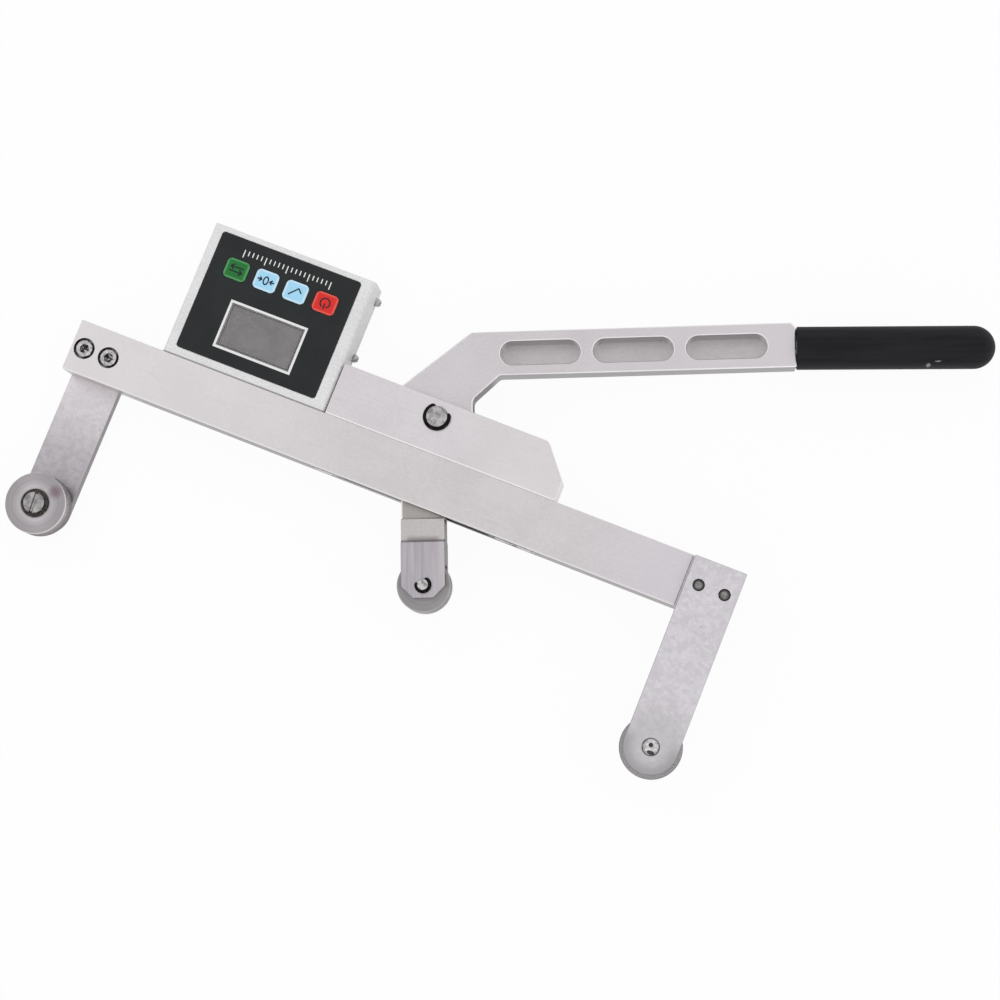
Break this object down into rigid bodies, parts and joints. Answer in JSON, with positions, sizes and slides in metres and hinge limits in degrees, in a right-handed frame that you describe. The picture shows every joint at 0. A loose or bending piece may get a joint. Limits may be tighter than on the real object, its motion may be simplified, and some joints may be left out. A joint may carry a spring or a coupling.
{
  "type": "wire rope tension meter",
  "caption": "Hand-held three-roller tension meter for wire rope: a straight beam with end rollers, a lever that presses a centre roller against the rope, and a digital readout.",
  "frame": {"origin": "centre of the beam's back face, at half of its length and half of its height", "axes": "+X along the beam from the readout's end to the handle's end, +Y from the rollers towards the handle, +Z from the back to the front with the keys"},
  "size_m": [0.4051, 0.2504, 0.027],
  "materials": {
    "blasted_aluminium": "bead-blasted, clear anodised",
    "arm_steel": "mottled zinc plating",
    "roller_steel": "turned",
    "pin_steel": "turned, satin",
    "screw_steel": "satin",
    "black_steel": "blackened",
    "bush_bronze": "sintered",
    "grip_rubber": "matte with light scuffs",
    "case_paint": "satin powder coat",
    "overlay_black": "fine matte film",
    "window_clear": "clear",
    "lcd_grey": "satin display glass",
    "board_green": "solder mask",
    "switch_black": "moulded",
    "key_green": "satin",
    "key_blue": "satin",
    "key_red": "satin",
    "cell_sleeve": "plain sleeve",
    "gauge_foil": "foil on film",
    "lead_grey": "smooth"
  },
  "bodies": {
    "frame": {"main_beam": "blasted_aluminium", "left_arm": "arm_steel", "right_arm": "arm_steel", "left_arm_screws": "screw_steel", "right_arm_screws": "screw_steel", "left_axle": "pin_steel", "left_axle_ring": "black_steel", "right_axle": "pin_steel", "right_axle_ring": "black_steel", "pivot_housing": "blasted_aluminium", "housing_screws": "screw_steel", "pivot_pin": "pin_steel", "pivot_rings": "black_steel", "case_front": "case_paint", "case_back": "case_paint", "case_side_screws": "screw_steel", "case_mount_screws": "screw_steel", "overlay": "overlay_black", "lcd_window": "window_clear", "lcd_module": "lcd_grey", "circuit_board": "board_green", "board_screws": "screw_steel", "key_switches": "switch_black", "battery_holder": "switch_black", "batteries": "cell_sleeve", "strain_gauges": "gauge_foil", "gauge_lead": "lead_grey"},
    "lever_arm": {"lever": "blasted_aluminium", "lever_bush": "bush_bronze", "lever_grip": "grip_rubber", "roller_fork": "blasted_aluminium", "fork_screws": "screw_steel", "centre_pin": "pin_steel", "centre_pin_rings": "black_steel"},
    "left_wheel": {"left_roller": "roller_steel", "left_roller_bush": "bush_bronze"},
    "right_wheel": {"right_roller": "roller_steel", "right_roller_bush": "bush_bronze"},
    "centre_wheel": {"centre_roller": "roller_steel", "centre_roller_bush": "bush_bronze"},
    "unit_button": {"unit_key": "key_green"},
    "zero_button": {"zero_key": "key_blue"},
    "set_button": {"set_key": "key_blue"},
    "power_button": {"power_key": "key_red"}
  },
  "joints": [
    {"name": "lever_pivot", "type": "hinge", "parent": "frame", "child": "lever_arm", "pos_m": [0.0075, 0.0295, 0.009], "axis": [0, 0, 1], "range_deg": [-22.6, 0]},
    {"name": "left_roller_spin", "type": "hinge", "parent": "frame", "child": "left_wheel", "pos_m": [-0.1545, -0.076, 0.009], "axis": [0, 0, 1], "continuous": true},
    {"name": "right_roller_spin", "type": "hinge", "parent": "frame", "child": "right_wheel", "pos_m": [0.1545, -0.076, 0.009], "axis": [0, 0, 1], "continuous": true},
    {"name": "centre_roller_spin", "type": "hinge", "parent": "lever_arm", "child": "centre_wheel", "pos_m": [0.03053, -0.04534, 0.009], "axis": [0, 0, 1], "continuous": true},
    {"name": "unit_key_press", "type": "slide", "parent": "frame", "child": "unit_button", "axis": [0, 0, -1], "range_m": [0, 0.0004], "stiffness_N_per_m": 2000},
    {"name": "zero_key_press", "type": "slide", "parent": "frame", "child": "zero_button", "axis": [0, 0, -1], "range_m": [0, 0.0004], "stiffness_N_per_m": 2000},
    {"name": "set_key_press", "type": "slide", "parent": "frame", "child": "set_button", "axis": [0, 0, -1], "range_m": [0, 0.0004], "stiffness_N_per_m": 2000},
    {"name": "power_key_press", "type": "slide", "parent": "frame", "child": "power_button", "axis": [0, 0, -1], "range_m": [0, 0.0004], "stiffness_N_per_m": 2000}
  ]
}
